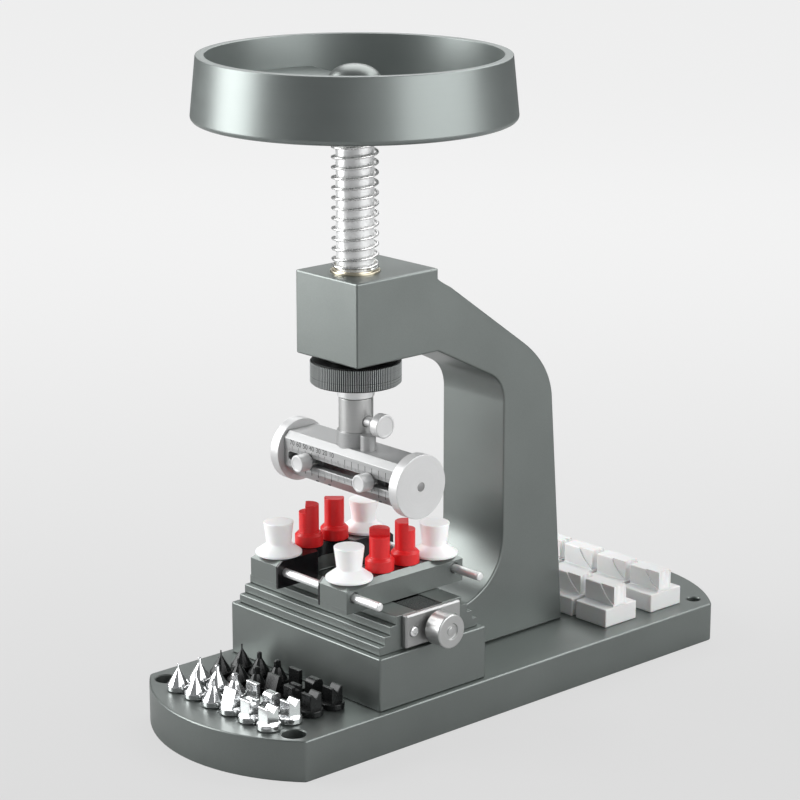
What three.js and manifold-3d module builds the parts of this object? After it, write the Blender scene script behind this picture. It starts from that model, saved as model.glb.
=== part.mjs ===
// A bench press for watch cases. Millimetres, +Z up, origin at the bottom centre of the base plate.
// +X runs across the press, along the vise and the die holder; +Y runs from the dies to the column.
import * as THREE from "three";
import { mergeVertices } from "three/addons/utils/BufferGeometryUtils.js";
import Module from "manifold-3d";

const wasm = await Module();
wasm.setup();

// Driving dimensions ------------------------------------------------------------------------------
const GAP = 0.3;
const BASE = { width: 120.6, straight: 288, sagitta: 24, height: 21, chamfer: 1.2 };
const FOOT_HOLE = { x: 49, y: 142, frontDiameter: 11.8, rearDiameter: 7.2 };
const AXIS_Y = -58.4;
const FRAME = {
  width: 45.6,
  headFront: -77.5,
  headRear: -24.1,
  headBottom: 183.2,
  headTop: 225.3,
  columnFront: 22.3,
  columnRear: 66.8,
  shoulderRear: 57.2,
  footFront: -22.8,
  footTop: 46,
  bevel: 1.2,
};
const BUSH = { flangeRadius: 12.3, flange: 1.3, radius: 10.6, bore: 9.55, bottom: 187 };
const RAM = { radius: 9.35, bottom: 162.5, top: 296, pinRadius: 5, pinBottom: 150 };
const RING = { radius: 22.7, bottom: 169.2, knurlTop: 181.4, neckRadius: 15.5, bore: 9.75 };
const SEAT = { radius: 12.4, bottom: 292.6, top: 294.8 };
const SPRING = { radius: 10.95, wire: 1.4, turns: 13, bottom: 226.9, top: 292.3 };
const WHEEL = {
  bottom: 300.3,
  top: 331.7,
  topRadius: 76.2,
  bottomRadius: 79.7,
  openingRadius: 71.8,
  hubRadius: 19,
  hubBottom: 295.1,
  spokeBottom: 305,
  spokeTop: 316,
  spokeWidth: 34,
  spokeAngles: [50, 170, 290],
};
const CAP = { radius: 13, bottom: 316.3, height: 10.6 };
const NOSE = { radius: 8.65, bore: 5.3, top: 162.2, bottom: 138.6, screwZ: 150.8, screwRadius: 2.6 };
const POST = { radius: 3.9, top: 145.4, x: 12.4, y: -3.1 };
const HOLDER = {
  z: 125.8,
  halfLength: 41.4,
  half: 12,
  topCorner: 3.2,
  bottomCorner: 6.4,
  capRadius: 16.1,
  capThickness: 6,
  slotHalf: 38.3,
  slotHalfHeight: 2.1,
  cavityHalfHeight: 4.6,
  cavityFront: 8.2,
  cavityRear: 6.6,
  carriageX: 23,
};
const PEDESTAL = { width: 114, depth: 71, height: 27.2 };
const BODY = { halfWidth: 53.5, halfDepths: [32.6, 29.2, 25.6, 21.8], riser: 4.45, channel: 8.5 };
const END = { halfWidth: 18.2, thickness: 3.3, screwY: 13.3, bearingStart: 37 };
const KNOB = { radius: 8.7, neckRadius: 6.2, start: 58.9, end: 69.6, neck: 1.6 };
const SCREW = { radius: 3.2, z: 57.3, left: -52, nutStart: 16, nutEnd: 24.6 };
const JAW = {
  inner: 15.3,
  outer: 36.4,
  halfDepth: 38.8,
  height: 14,
  chamferX: 3,
  chamferZ: 2.5,
  insertDrop: 6.9,
  insertSpan: 35.6,
  facing: 1.2,
  notchRadius: 13.2,
  notchDepth: 9,
};
const ROD = { radius: 2.2, offset: 33.4, z: 73.9, tip: 54.8 };
const PEG = { radius: 2.4, depth: 5 };
const CUP = { flangeRadius: 11.7, neckRadius: 6.2, topRadius: 7.7, height: 16.6, offset: 28.5 };
const PIN = { flangeRadius: 7.2, flange: 7, radius: 5.1, height: 21.6, step: 4, offset: 8.5 };
const HOLDER_X = 26.7;
const BLOCK = { width: 22, depth: 23.5, base: 10, top: 20.6, neck: 9.7, pitchX: 24.7, pitchY: 35 };
const SCOOP = { radius: 20, depth: 1.8 };
const BLOCK_ROW_Y = 84.9;
const BIT = { radius: 5.9, collar: 3.4, height: 14, pitchX: 13.9, pitchY: 13.5, centreX: 1.6, firstY: -147 };
const BIT_PEG = { radius: 2, depth: 6 };

const BASE_TOP = BASE.height;
const PEDESTAL_TOP = BASE_TOP + PEDESTAL.height;
const BODY_TOP = PEDESTAL_TOP + GAP / 3 + 4 * BODY.riser;
const JAW_BOTTOM = BODY_TOP + GAP;
const JAW_TOP = JAW_BOTTOM + JAW.height;

// Materials ---------------------------------------------------------------------------------------
function material(color, roughness, metalness) {
  return new THREE.MeshStandardMaterial({ color, roughness, metalness });
}
const paint = material(0x7d8682, 0.42, 0.35);
const steel = material(0xc9cbcb, 0.22, 1);
const satin = material(0xcfd0cf, 0.4, 0.9);
const brass = material(0xb89a5a, 0.3, 1);
const darkSteel = material(0x3f4342, 0.45, 0.7);
const blackOxide = material(0x1b1c1c, 0.35, 0.6);
const chrome = material(0xe2e4e5, 0.08, 1);
const blackPlastic = material(0x121314, 0.25, 0);
const whiteNylon = material(0xf4f4f2, 0.35, 0);
const redPlastic = material(0xc51d22, 0.4, 0);

// Solids ------------------------------------------------------------------------------------------
function toSolid(geometry) {
  const bare = geometry.clone();
  bare.deleteAttribute("normal");
  bare.deleteAttribute("uv");
  const merged = mergeVertices(bare, 1e-4);
  const vertProperties = merged.attributes.position.array;
  const triVerts = new Uint32Array(merged.index.array);
  return new wasm.Manifold(new wasm.Mesh({ numProp: 3, vertProperties, triVerts }));
}

function toGeometry(solid) {
  const mesh = solid.getMesh();
  const geometry = new THREE.BufferGeometry();
  geometry.setAttribute("position", new THREE.BufferAttribute(mesh.vertProperties, 3));
  geometry.setIndex(new THREE.BufferAttribute(mesh.triVerts, 1));
  return geometry;
}

function join(...geometries) {
  return toGeometry(geometries.map(toSolid).reduce((whole, next) => whole.add(next)));
}

function cut(geometry, ...tools) {
  return toGeometry(tools.map(toSolid).reduce((whole, next) => whole.subtract(next), toSolid(geometry)));
}

function common(first, second) {
  return toGeometry(toSolid(first).intersect(toSolid(second)));
}

// A box between two corners.
function box(x0, x1, y0, y1, z0, z1) {
  const geometry = new THREE.BoxGeometry(x1 - x0, y1 - y0, z1 - z0);
  return geometry.translate((x0 + x1) / 2, (y0 + y1) / 2, (z0 + z1) / 2);
}

// A turned part on the Z axis, from [radius, height] pairs that climb along its outside.
function turned(profile, segments = 24) {
  const points = profile.map(([radius, height]) => new THREE.Vector2(radius, height));
  return new THREE.LatheGeometry(points, segments).rotateX(Math.PI / 2);
}

function rod(radius, z0, z1, segments = 20) {
  return turned([[0, z0], [radius, z0], [radius, z1], [0, z1]], segments);
}

function tube(outer, inner, z0, z1, segments = 24) {
  return turned([[inner, z0], [outer, z0], [outer, z1], [inner, z1], [inner, z0]], segments);
}

// The same turned part laid along +X, or along -Y.
function alongX(geometry) {
  return geometry.rotateY(Math.PI / 2);
}

function alongFront(geometry) {
  return geometry.rotateX(Math.PI / 2);
}

function outline(points) {
  return new THREE.Shape(points.map(([u, v]) => new THREE.Vector2(u, v)));
}

function extruded(shape, length, bevel = 0, curveSegments = 12) {
  const options = { depth: length - 2 * bevel, bevelEnabled: bevel > 0, curveSegments };
  options.bevelThickness = bevel;
  options.bevelSize = bevel;
  options.bevelOffset = -bevel;
  options.bevelSegments = 1;
  return new THREE.ExtrudeGeometry(shape, options).translate(0, 0, bevel);
}

// A section drawn in Y (across) and Z (up), swept along X from x0 to x1.
function sweptX(shape, x0, x1, bevel = 0) {
  const turn = new THREE.Matrix4().set(0, 0, 1, x0, 1, 0, 0, 0, 0, 1, 0, 0, 0, 0, 0, 1);
  return extruded(shape, x1 - x0, bevel).applyMatrix4(turn);
}

// A section drawn in X (across) and Z (up), swept along Y from y1 towards y0.
function sweptY(shape, y0, y1, bevel = 0) {
  return extruded(shape, y1 - y0, bevel).rotateX(Math.PI / 2).translate(0, y1, 0);
}

const press = new THREE.Group();
const atSpindle = new THREE.Group();
atSpindle.position.y = AXIS_Y;
press.add(atSpindle);

function place(parent, name, geometry, look, x = 0, y = 0, z = 0) {
  const mesh = new THREE.Mesh(geometry, look);
  mesh.name = name;
  mesh.position.set(x, y, z);
  parent.add(mesh);
}

// Frame -------------------------------------------------------------------------------------------
function bitPlaces() {
  const places = [];
  for (let row = 0; row < 4; row += 1) {
    for (let column = 0; column < 6; column += 1) {
      const x = BIT.centreX + (column - 2.5) * BIT.pitchX;
      places.push({ row, column, x, y: BIT.firstY + row * BIT.pitchY });
    }
  }
  return places;
}

function basePlate() {
  const half = BASE.width / 2;
  const straight = BASE.straight / 2;
  const radius = (half * half + BASE.sagitta * BASE.sagitta) / (2 * BASE.sagitta);
  const centre = straight + BASE.sagitta - radius;
  const sweep = Math.asin(half / radius);
  const shape = new THREE.Shape();
  shape.absarc(0, -centre, radius, -Math.PI / 2 - sweep, -Math.PI / 2 + sweep, false);
  shape.absarc(0, centre, radius, Math.PI / 2 - sweep, Math.PI / 2 + sweep, false);
  shape.closePath();
  const plate = extruded(shape, BASE.height, BASE.chamfer, 16);
  const holes = [];
  for (const sideX of [-1, 1]) {
    for (const sideY of [-1, 1]) {
      const diameter = sideY < 0 ? FOOT_HOLE.frontDiameter : FOOT_HOLE.rearDiameter;
      const hole = rod(diameter / 2, -1, BASE_TOP + 1, 16);
      holes.push(hole.translate(sideX * FOOT_HOLE.x, sideY * FOOT_HOLE.y, 0));
    }
  }
  for (const { x, y } of bitPlaces()) {
    const hole = rod(BIT_PEG.radius + GAP, BASE_TOP - BIT_PEG.depth - 1, BASE_TOP + 1, 6);
    holes.push(hole.translate(x, y, 0));
  }
  place(press, "base_plate", cut(plate, ...holes), paint);
}

function cFrame() {
  const shape = new THREE.Shape();
  shape.moveTo(FRAME.footFront, BASE_TOP + GAP / 3);
  shape.lineTo(FRAME.columnRear, BASE_TOP + GAP / 3);
  shape.lineTo(FRAME.shoulderRear, 147);
  shape.quadraticCurveTo(54.6, 164.2, 36, 177.6);
  shape.lineTo(-15, 214.2);
  shape.quadraticCurveTo(-23, 218.6, FRAME.headRear, 220);
  shape.lineTo(FRAME.headRear, FRAME.headTop);
  shape.lineTo(FRAME.headFront, FRAME.headTop);
  shape.lineTo(FRAME.headFront, FRAME.headBottom);
  shape.lineTo(FRAME.headRear, FRAME.headBottom);
  shape.lineTo(11.5, 165.2);
  shape.quadraticCurveTo(FRAME.columnFront, 160.2, FRAME.columnFront, 148);
  shape.lineTo(FRAME.columnFront, 80);
  shape.quadraticCurveTo(FRAME.columnFront, 53.5, -4, FRAME.footTop);
  shape.lineTo(FRAME.footFront, FRAME.footTop);
  shape.closePath();
  const casting = sweptX(shape, -FRAME.width / 2, FRAME.width / 2, FRAME.bevel);
  const bore = rod(BUSH.radius + GAP, 150, FRAME.headTop + 5).translate(0, AXIS_Y, 0);
  place(press, "c_frame", cut(casting, bore), paint);
}

function guideBush() {
  const flangeBottom = FRAME.headTop + 0.1;
  const profile = [
    [BUSH.bore, BUSH.bottom],
    [BUSH.radius, BUSH.bottom],
    [BUSH.radius, flangeBottom],
    [BUSH.flangeRadius, flangeBottom],
    [BUSH.flangeRadius, flangeBottom + BUSH.flange],
    [BUSH.bore, flangeBottom + BUSH.flange],
    [BUSH.bore, BUSH.bottom],
  ];
  place(atSpindle, "guide_bush", turned(profile), brass);
}

function knurledRing() {
  const top = FRAME.headBottom - 0.2;
  const profile = [
    [RING.bore, RING.bottom],
    [RING.radius - 0.8, RING.bottom],
    [RING.radius, RING.bottom + 0.8],
    [RING.radius, RING.knurlTop - 0.6],
    [RING.radius - 0.6, RING.knurlTop],
    [RING.neckRadius, RING.knurlTop],
    [RING.neckRadius, top],
    [RING.bore, top],
    [RING.bore, RING.bottom],
  ];
  place(atSpindle, "knurled_ring", turned(profile, 32), darkSteel);
}

// Ram ---------------------------------------------------------------------------------------------
class Helix extends THREE.Curve {
  getPoint(t) {
    const angle = t * SPRING.turns * 2 * Math.PI;
    const rise = SPRING.top - SPRING.bottom - SPRING.wire;
    const z = SPRING.bottom + SPRING.wire / 2 + t * rise;
    return new THREE.Vector3(SPRING.radius * Math.cos(angle), SPRING.radius * Math.sin(angle), z);
  }
}

function returnSpring() {
  const section = new THREE.Shape();
  section.absarc(0, 0, SPRING.wire / 2, 0, 2 * Math.PI, false);
  const steps = SPRING.turns * 9;
  const options = { extrudePath: new Helix(), steps, curveSegments: 2, bevelEnabled: false };
  place(atSpindle, "return_spring", new THREE.ExtrudeGeometry(section, options), steel);
}

function spindle() {
  const profile = [
    [0, RAM.pinBottom],
    [RAM.pinRadius, RAM.pinBottom],
    [RAM.pinRadius, RAM.bottom],
    [RAM.radius, RAM.bottom],
    [RAM.radius, RAM.top],
    [RAM.radius - 2, RAM.top],
    [RAM.radius - 2, WHEEL.spokeTop],
    [0, WHEEL.spokeTop],
  ];
  place(atSpindle, "spindle", turned(profile), steel);
  place(atSpindle, "spring_seat", tube(SEAT.radius, RAM.radius + 0.2, SEAT.bottom, SEAT.top), steel);
}

function handwheel() {
  const rim = turned(
    [
      [WHEEL.openingRadius - 2.4, WHEEL.bottom],
      [WHEEL.bottomRadius - 3.2, WHEEL.bottom],
      [WHEEL.bottomRadius - 0.6, WHEEL.bottom + 1.6],
      [WHEEL.bottomRadius, WHEEL.bottom + 4.2],
      [WHEEL.topRadius, WHEEL.top],
      [WHEEL.openingRadius, WHEEL.top],
      [WHEEL.openingRadius - 2.4, WHEEL.bottom],
    ],
    56,
  );
  const hub = rod(WHEEL.hubRadius, WHEEL.hubBottom, WHEEL.spokeTop, 32);
  const half = WHEEL.spokeWidth / 2;
  const spokes = WHEEL.spokeAngles.map((angle) => {
    const spoke = box(0, WHEEL.openingRadius, -half, half, WHEEL.spokeBottom, WHEEL.spokeTop);
    return spoke.rotateZ(THREE.MathUtils.degToRad(angle));
  });
  const lowerBore = rod(RAM.radius + 0.15, WHEEL.hubBottom - 1, RAM.top + 0.15);
  const upperBore = rod(RAM.radius - 1.85, RAM.top - 1, WHEEL.top);
  place(atSpindle, "handwheel", cut(join(rim, hub, ...spokes), lowerBore, upperBore), paint);
  const dome = [[0, CAP.bottom], [CAP.radius, CAP.bottom], [CAP.radius, CAP.bottom + 4]];
  for (const angle of [30, 60]) {
    const turn = THREE.MathUtils.degToRad(angle);
    dome.push([CAP.radius * Math.cos(turn), CAP.bottom + 4 + (CAP.height - 4) * Math.sin(turn)]);
  }
  dome.push([0, CAP.bottom + CAP.height]);
  place(atSpindle, "wheel_cap", turned(dome), paint);
}

function nose() {
  const sleeve = tube(NOSE.radius, NOSE.bore, NOSE.bottom, NOSE.top);
  const screwHole = alongX(rod(NOSE.screwRadius + 0.4, 4, 12, 16)).translate(0, 0, NOSE.screwZ);
  place(atSpindle, "nose_sleeve", cut(sleeve, screwHole), satin);
  const shank = alongX(rod(NOSE.screwRadius, NOSE.bore + 0.2, 17, 16));
  const head = alongX(turned([[0, 16.6], [5.5, 16.6], [6, 17.1], [6, 21.4], [5.6, 21.8], [0, 21.8]]));
  place(atSpindle, "nose_lock_screw", join(shank, head), satin, 0, 0, NOSE.screwZ);
}

// Die holder --------------------------------------------------------------------------------------
function holderBeam() {
  const { half, topCorner, bottomCorner, z } = HOLDER;
  const section = outline([
    [-half + bottomCorner, z - half],
    [half - bottomCorner, z - half],
    [half, z - half + bottomCorner],
    [half, z + half - topCorner],
    [half - topCorner, z + half],
    [-half + topCorner, z + half],
    [-half, z + half - topCorner],
    [-half, z - half + bottomCorner],
  ]);
  const bar = sweptX(section, -HOLDER.halfLength, HOLDER.halfLength);
  const post = rod(POST.radius, z + half - 1, POST.top).translate(POST.x, POST.y, 0);
  const boss = join(bar, rod(9.6, z + half - 1, NOSE.bottom - 0.2, 28), post);
  const slotHalf = HOLDER.slotHalf;
  const high = HOLDER.slotHalfHeight;
  const slot = box(-slotHalf, slotHalf, -half - 1, 0, z - high, z + high);
  const cavityHigh = HOLDER.cavityHalfHeight;
  const { cavityFront, cavityRear } = HOLDER;
  const cavity = box(-slotHalf, slotHalf, -cavityFront, cavityRear, z - cavityHigh, z + cavityHigh);
  const mouth = box(-slotHalf, slotHalf, -3.2, 3.2, z - half - 1, z);
  place(atSpindle, "holder_beam", cut(boss, slot, cavity, mouth), satin);
}

function holderCaps() {
  const radius = HOLDER.capRadius;
  const start = HOLDER.halfLength + 0.1;
  const end = start + HOLDER.capThickness;
  const disc = turned([[0, start], [radius, start], [radius, end - 0.5], [radius - 0.5, end], [0, end]], 32);
  const recess = rod(2.4, end - 1.5, end + 1, 16);
  const screw = rod(2.2, end - 1.4, end + 0.1, 16);
  place(atSpindle, "end_cap_left", alongX(disc.clone()).rotateZ(Math.PI), satin, 0, 0, HOLDER.z);
  place(atSpindle, "end_cap_right", alongX(cut(disc, recess)), satin, 0, 0, HOLDER.z);
  place(atSpindle, "cap_screw", alongX(screw), steel, 0, 0, HOLDER.z);
}

function carriages() {
  const z = HOLDER.z;
  const high = HOLDER.cavityHalfHeight - GAP;
  for (const [name, side] of [["left", -1], ["right", 1]]) {
    const x = side * HOLDER.carriageX;
    const body = box(x - 7, x + 7, -HOLDER.cavityFront + GAP, HOLDER.cavityRear - GAP, z - high, z + high);
    const foot = box(x - 2.9, x + 2.9, -2.9, 2.9, z - HOLDER.half, z);
    const thread = alongFront(rod(1.9, 3.6, 12, 16)).translate(x, 0, z);
    place(atSpindle, `die_carriage_${name}`, cut(join(body, foot), thread), darkSteel);
    const shank = alongFront(rod(1.6, 4, 13, 16));
    const start = HOLDER.half + 0.4;
    const profile = [[0, start], [3.9, start], [4.4, start + 0.5], [4.4, 19], [4, 19.4], [0, 19.4]];
    const head = alongFront(turned(profile, 24));
    place(atSpindle, `carriage_screw_${name}`, join(shank, head), satin, x, 0, z);
  }
}

// Vise --------------------------------------------------------------------------------------------
function viseBody() {
  const halfWidth = PEDESTAL.width / 2;
  const halfDepth = PEDESTAL.depth / 2;
  const shape = outline([
    [-halfWidth, -halfDepth],
    [halfWidth, -halfDepth],
    [halfWidth, halfDepth],
    [-halfWidth, halfDepth],
  ]);
  const block = extruded(shape, PEDESTAL.height - 0.1, 0.8);
  place(atSpindle, "vise_pedestal", block, paint, 0, 0, BASE_TOP + 0.1);

  const bottom = PEDESTAL_TOP + GAP / 3;
  const right = [];
  BODY.halfDepths.forEach((depth, step) => {
    right.push([depth, bottom + step * BODY.riser], [depth, bottom + (step + 1) * BODY.riser]);
  });
  const channelFloor = bottom + 3.5;
  const floor = [
    [BODY.channel, BODY_TOP],
    [BODY.channel, channelFloor],
    [-BODY.channel, channelFloor],
    [-BODY.channel, BODY_TOP],
  ];
  const left = right.map(([y, z]) => [-y, z]).reverse();
  const stepped = sweptX(outline([...right, ...floor, ...left]), -BODY.halfWidth, BODY.halfWidth);
  place(atSpindle, "vise_body", stepped, paint);
}

function viseEnd() {
  const bottom = PEDESTAL_TOP + 1;
  const plateStart = BODY.halfWidth + 0.1;
  const plateEnd = plateStart + END.thickness;
  const shaftHole = alongX(rod(SCREW.radius + GAP, BODY.halfWidth - 3, 62)).translate(0, 0, SCREW.z);
  const half = END.halfWidth;
  const plate = box(plateStart, plateEnd, -half, half, bottom, BODY_TOP);
  const screwHoles = [-1, 1].map((side) =>
    alongX(rod(2.9, plateStart - 1, 62, 20)).translate(0, side * END.screwY, SCREW.z),
  );
  place(atSpindle, "vise_end_plate", cut(plate, shaftHole, ...screwHoles), satin);
  for (const [name, side] of [["front", -1], ["rear", 1]]) {
    const screw = alongX(rod(2.6, plateStart + 0.1, plateEnd + 0.9, 20));
    const arm = 3.4;
    const cross = [
      box(plateEnd + 0.2, 62, -arm / 2, arm / 2, -0.4, 0.4),
      box(plateEnd + 0.2, 62, -0.4, 0.4, -arm / 2, arm / 2),
    ];
    place(atSpindle, `plate_screw_${name}`, cut(screw, ...cross), steel, 0, side * END.screwY, SCREW.z);
  }
}

function viseScrew() {
  const shaftEnd = KNOB.end - 4;
  const shaft = [[0, SCREW.left], [SCREW.radius, SCREW.left], [SCREW.radius, shaftEnd], [0, shaftEnd]];
  place(atSpindle, "vise_leadscrew", alongX(turned(shaft, 20)), steel, 0, 0, SCREW.z);
  const bore = SCREW.radius + 0.1;
  const knob = [
    [bore, KNOB.start - KNOB.neck],
    [KNOB.neckRadius, KNOB.start - KNOB.neck],
    [KNOB.neckRadius, KNOB.start],
    [KNOB.radius - 0.6, KNOB.start],
    [KNOB.radius, KNOB.start + 0.6],
    [KNOB.radius, KNOB.end - 0.8],
    [KNOB.radius - 0.8, KNOB.end],
    [2.2, KNOB.end],
    [2.2, KNOB.end - 1],
    [bore, KNOB.end - 1],
    [bore, KNOB.start - KNOB.neck],
  ];
  place(atSpindle, "vise_knob", alongX(turned(knob, 24)), satin, 0, 0, SCREW.z);
  const half = BODY.channel - GAP;
  const hole = alongX(rod(SCREW.radius + GAP, 0, BODY.halfWidth + 1)).translate(0, 0, SCREW.z);
  const nut = box(SCREW.nutStart, SCREW.nutEnd, -half, half, PEDESTAL_TOP + 4, BODY_TOP - 0.2);
  const bearingEnd = BODY.halfWidth - 0.2;
  const bearing = box(END.bearingStart, bearingEnd, -half, half, PEDESTAL_TOP + 4, BODY_TOP - 0.2);
  for (const [name, turn] of [["left", Math.PI], ["right", 0]]) {
    place(atSpindle, `jaw_nut_${name}`, cut(nut, hole).rotateZ(turn), blackOxide);
  }
  place(atSpindle, "screw_bearing", cut(bearing, hole), blackOxide);
}

function jaws() {
  const { inner, outer, halfDepth, chamferX, chamferZ, insertDrop, insertSpan } = JAW;
  for (const [name, side] of [["left", -1], ["right", 1]]) {
    const full = box(inner, outer, -halfDepth, halfDepth, JAW_BOTTOM, JAW_TOP);
    const sideSection = outline([
      [inner - 1, JAW_BOTTOM - 1],
      [outer, JAW_BOTTOM - 1],
      [outer, JAW_TOP - chamferZ],
      [outer - chamferX, JAW_TOP],
      [inner - 1, JAW_TOP],
    ]);
    const endSection = outline([
      [-halfDepth, JAW_BOTTOM - 1],
      [halfDepth, JAW_BOTTOM - 1],
      [halfDepth, JAW_TOP - chamferZ],
      [halfDepth - chamferX, JAW_TOP],
      [-halfDepth + chamferX, JAW_TOP],
      [-halfDepth, JAW_TOP - chamferZ],
    ]);
    const chamfered = common(
      common(full, sweptY(sideSection, -halfDepth - 1, halfDepth + 1)),
      sweptX(endSection, inner - 2, outer + 2),
    );
    const notchX = inner - JAW.notchRadius + JAW.notchDepth;
    const notch = rod(JAW.notchRadius, JAW_BOTTOM - 1, JAW_TOP + 1, 40).translate(notchX, 0, 0);
    const pocketFloor = JAW_TOP - insertDrop;
    const pocketOuter = outer - chamferX - 0.1;
    const pocketSpan = insertSpan + 0.15;
    const pocket = box(inner - 1, pocketOuter, -pocketSpan, pocketSpan, pocketFloor, JAW_TOP + 1);
    const insert = box(inner, pocketOuter - 0.15, -insertSpan, insertSpan, pocketFloor + 0.1, JAW_TOP);
    const pegHoles = [];
    for (const offset of [CUP.offset, PIN.offset]) {
      for (const end of [-1, 1]) {
        const hole = rod(PEG.radius + GAP, JAW_TOP - PEG.depth - 0.4, JAW_TOP + 1, 14);
        pegHoles.push(hole.translate(HOLDER_X, end * offset, 0));
      }
    }
    const rodHoles = [-1, 1].map((end) =>
      alongX(rod(ROD.radius + GAP, inner - 2, outer + 2, 18)).translate(0, end * ROD.offset, ROD.z),
    );
    const faced = box(inner - 1, inner + JAW.facing + 0.15, -halfDepth - 1, halfDepth + 1, 0, JAW_TOP + 1);
    const facing = common(chamfered, box(inner - 1, inner + JAW.facing, -halfDepth, halfDepth, 0, JAW_TOP));
    const carrier = cut(chamfered, pocket, faced, notch, ...rodHoles);
    const pad = cut(join(insert, facing), notch, ...rodHoles, ...pegHoles);
    if (side < 0) {
      carrier.rotateZ(Math.PI);
      pad.rotateZ(Math.PI);
    }
    place(atSpindle, `jaw_${name}`, carrier, paint);
    place(atSpindle, `jaw_insert_${name}`, pad, blackPlastic);
  }
  for (const [name, end] of [["front", -1], ["rear", 1]]) {
    const start = -JAW.outer + 1;
    const radius = ROD.radius;
    const tip = ROD.tip;
    const profile = [[0, start], [radius, start], [radius, tip - 0.5], [radius - 0.5, tip], [0, tip]];
    place(atSpindle, `guide_rod_${name}`, alongX(turned(profile, 18)), steel, 0, end * ROD.offset, ROD.z);
  }
}

// Case holders that stand in the jaws ---------------------------------------------------------------
function holdingCups() {
  const profile = [
    [0, -PEG.depth],
    [PEG.radius, -PEG.depth],
    [PEG.radius, 0.1],
    [CUP.flangeRadius, 0.1],
    [CUP.flangeRadius, 1.3],
    [CUP.flangeRadius - 0.9, 2.1],
    [CUP.neckRadius + 0.9, 4.2],
    [CUP.neckRadius, 6],
    [CUP.topRadius - 0.5, CUP.height - 0.5],
    [CUP.topRadius - 0.9, CUP.height],
    [0, CUP.height],
  ];
  for (const [sideName, side] of [["left", -1], ["right", 1]]) {
    for (const [endName, end] of [["front", -1], ["rear", 1]]) {
      const name = `white_cup_${sideName}_${endName}`;
      place(atSpindle, name, turned(profile, 16), whiteNylon, side * HOLDER_X, end * CUP.offset, JAW_TOP);
    }
  }
}

function steppedPins() {
  // How far each pin is turned about its own axis.
  const turns = { left_front: 228, left_rear: 138, right_front: 318, right_rear: 48 };
  const profile = [
    [0, -PEG.depth],
    [PEG.radius, -PEG.depth],
    [PEG.radius, 0.1],
    [PIN.flangeRadius, 0.1],
    [PIN.flangeRadius, PIN.flange - 1.4],
    [PIN.flangeRadius - 1.3, PIN.flange],
    [PIN.radius, PIN.flange],
    [PIN.radius, PIN.height - 0.3],
    [PIN.radius - 0.3, PIN.height],
    [0, PIN.height],
  ];
  for (const [sideName, side] of [["left", -1], ["right", 1]]) {
    for (const [endName, end] of [["front", -1], ["rear", 1]]) {
      const corner = `${sideName}_${endName}`;
      const step = box(PIN.radius / 3, 8, -8, 8, PIN.height - PIN.step, PIN.height + 1);
      const pin = cut(turned(profile, 14), step);
      pin.rotateZ(THREE.MathUtils.degToRad(turns[corner]));
      place(atSpindle, `red_pin_${corner}`, pin, redPlastic, side * HOLDER_X, end * PIN.offset, JAW_TOP);
    }
  }
}

// Loose parts on the base ---------------------------------------------------------------------------
function caseBlocks() {
  for (let row = 0; row < 2; row += 1) {
    for (let column = 0; column < 4; column += 1) {
      const halfWidth = BLOCK.width / 2;
      const halfDepth = BLOCK.depth / 2;
      const neck = BLOCK.neck / 2;
      const section = outline([
        [-halfDepth, 0.1],
        [halfDepth, 0.1],
        [halfDepth, BLOCK.base],
        [neck, BLOCK.base],
        [neck, BLOCK.top],
        [-neck, BLOCK.top],
        [-neck, BLOCK.base],
        [-halfDepth, BLOCK.base],
      ]);
      const solid = sweptX(section, -halfWidth, halfWidth);
      const scoop = rod(SCOOP.radius, BLOCK.base, BLOCK.top + 1, 40);
      const block = cut(solid, scoop.translate(halfWidth + SCOOP.radius - SCOOP.depth, 0, 0));
      const x = 0.7 + (column - 1.5) * BLOCK.pitchX;
      const y = BLOCK_ROW_Y + row * BLOCK.pitchY;
      place(press, `case_block_${row + 1}_${column + 1}`, block, whiteNylon, x, y, BASE_TOP);
    }
  }
}

// One bit, standing on z = 0 with its peg below; the column picks the shape of its working end.
function bitSolid(column) {
  const { radius, collar, height } = BIT;
  const peg = [[0, -BIT_PEG.depth], [BIT_PEG.radius, -BIT_PEG.depth], [BIT_PEG.radius, 0.3]];
  const foot = [[radius - 0.4, 0.3], [radius, 0.7], [radius, collar]];
  if (column < 3) {
    const tip = [0.4, 0.8, 1.6][column];
    const tipStart = [height - 2.6, height - 3, height - 3.6][column];
    return turned([...peg, ...foot, [tip, tipStart], [tip, height], [0, height]], 8);
  }
  const disc = turned([...peg, ...foot, [0, collar]], 10);
  const half = [4.2, 3.6, 3.7][column - 3];
  const low = collar - 0.5;
  const shoulder = height - 4;
  const groove = height - 5.4;
  const top = height - 2.4;
  const sections = [
    [[-3.4, low], [3.4, low], [3.4, collar + 1], [0.7, height - 1], [-0.7, height - 1], [-3.4, collar + 1]],
    [[-3.2, low], [3.2, low], [3.2, shoulder], [1.8, top], [-1.8, top], [-3.2, shoulder]],
    [[-3.5, low], [3.5, low], [3.5, top], [2.2, top], [0, groove], [-2.2, top], [-3.5, top]],
  ];
  return join(disc, sweptX(outline(sections[column - 3]), -half, half));
}

function pressBits() {
  const rows = [[], [], [], []];
  for (const { row, column, x, y } of bitPlaces()) {
    const bit = bitSolid(column);
    if (row === 0) {
      place(press, `press_bit_${column + 1}`, bit, chrome, x, y, BASE_TOP);
    } else {
      rows[row].push(bit.translate(x, y, BASE_TOP));
    }
  }
  // The other rows have a thin strip between their collars, so that each row is one solid.
  for (let row = 1; row < 4; row += 1) {
    const reach = 2.5 * BIT.pitchX;
    const strip = box(-reach, reach, -0.8, 0.8, BASE_TOP + 0.8, BASE_TOP + 2);
    strip.translate(BIT.centreX, BIT.firstY + row * BIT.pitchY, 0);
    const look = row === 1 ? chrome : blackOxide;
    place(press, `press_bit_row_${row + 1}`, join(...rows[row], strip), look);
  }
}

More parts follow.
